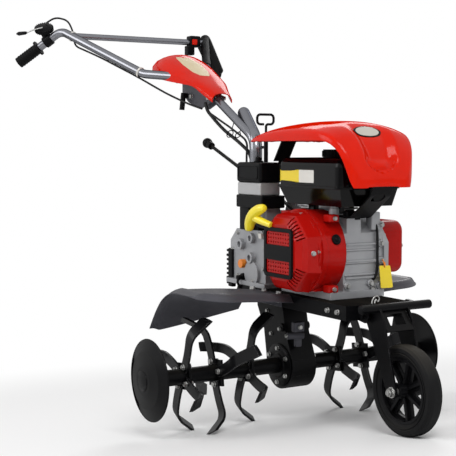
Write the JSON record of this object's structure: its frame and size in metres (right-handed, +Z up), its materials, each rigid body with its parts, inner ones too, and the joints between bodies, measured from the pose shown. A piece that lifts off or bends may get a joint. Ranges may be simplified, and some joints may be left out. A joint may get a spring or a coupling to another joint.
{
  "type": "rotary tiller",
  "caption": "Walk-behind petrol rotary tiller: engine under a red hood, tined reel with side discs, fenders, folding front wheel and a forked handlebar on a column.",
  "frame": {"origin": "on the floor, under the middle of the outline", "axes": "+X forward, towards the transport wheel; +Y the machine's left; +Z up"},
  "size_m": [1.5518, 0.902, 1.2681],
  "materials": {
    "red_shell": "moulded gloss red",
    "red_paint": "gloss red paint on steel",
    "black_paint": "satin black paint",
    "tank_black": "gloss black enamel",
    "cast_aluminium": "raw casting",
    "bright_tube": "silver painted steel tube",
    "plain_steel": "zinc plated steel",
    "gunmetal_paint": "gunmetal paint",
    "black_plastic": "grained black plastic",
    "grip_rubber": "ribbed rubber",
    "tyre": "solid rubber tyre",
    "rim_black": "moulded rim",
    "yellow_plastic": "moulded yellow",
    "orange_plastic": "moulded orange",
    "muffler_paint": "heat-proof black paint",
    "cable_sheath": "plastic-sheathed cable"
  },
  "bodies": {
    "chassis": {"frame": "black_paint", "fold_ears": "black_paint", "gearbox_leg": "black_paint", "gearbox_upper": "cast_aluminium", "gearbox_cap": "orange_plastic", "hitch_bracket": "black_paint", "column_bracket": "black_paint", "gear_lever": "black_paint", "crankcase": "cast_aluminium", "crankcase_cover": "cast_aluminium", "cylinder_head": "cast_aluminium", "blower_housing": "red_paint", "recoil_cover": "red_paint", "recoil_panel": "black_plastic", "starter_grip": "yellow_plastic", "fuel_tank": "tank_black", "fuel_cap": "black_plastic", "air_cleaner_cover": "black_plastic", "air_cleaner_band": "plain_steel", "air_cleaner_base": "black_plastic", "carburettor": "cast_aluminium", "muffler": "muffler_paint", "belt_cover": "red_paint", "hood": "red_shell", "hood_strut": "black_paint", "hood_bracket": "black_paint", "fender_right": "gunmetal_paint", "fender_left": "gunmetal_paint"},
    "column": {"column_tube": "bright_tube", "column_post": "bright_tube", "lock_rod": "black_paint", "cable_guides": "black_paint", "cable_bundle": "cable_sheath"},
    "handlebar": {"handle_right": "bright_tube", "handle_left": "bright_tube", "crossbar": "bright_tube", "grip_right": "grip_rubber", "grip_left": "grip_rubber", "throttle_control": "black_plastic", "clutch_lever": "black_plastic", "stop_switch": "black_plastic", "clamp_plates": "gunmetal_paint", "clamp_knob": "black_plastic", "console_cover": "red_shell", "throttle_cable": "cable_sheath"},
    "wheel_bracket": {"wheel_fork": "black_paint", "axle_bolt": "plain_steel"},
    "wheel": {"tyre": "tyre", "rim": "rim_black"},
    "tine_reel": {"tine_shaft": "black_paint", "tines_right": "black_paint", "tines_left": "black_paint", "disc_right": "black_paint", "disc_left": "black_paint"}
  },
  "joints": [
    {"name": "tine_spin", "type": "hinge", "parent": "chassis", "child": "tine_reel", "pos_m": [0.18624, 0, 0.14819], "axis": [0, 1, 0], "continuous": true},
    {"name": "wheel_fold", "type": "hinge", "parent": "chassis", "child": "wheel_bracket", "pos_m": [0.6012, 0, 0.28665], "axis": [0, -1, 0], "range_deg": [0, 75]},
    {"name": "wheel_spin", "type": "hinge", "parent": "wheel_bracket", "child": "wheel", "pos_m": [0.66793, 0, 0.108], "axis": [0, 1, 0], "continuous": true},
    {"name": "column_swivel", "type": "hinge", "parent": "chassis", "child": "column", "pos_m": [0.07805, 0.003, 0.67026], "axis": [0.1219, 0, 0.9925], "range_deg": [-30, 30]},
    {"name": "handlebar_height", "type": "hinge", "parent": "column", "child": "handlebar", "pos_m": [-0.10979, -0.011, 0.92103], "axis": [0, 1, 0], "range_deg": [-12, 12]}
  ]
}
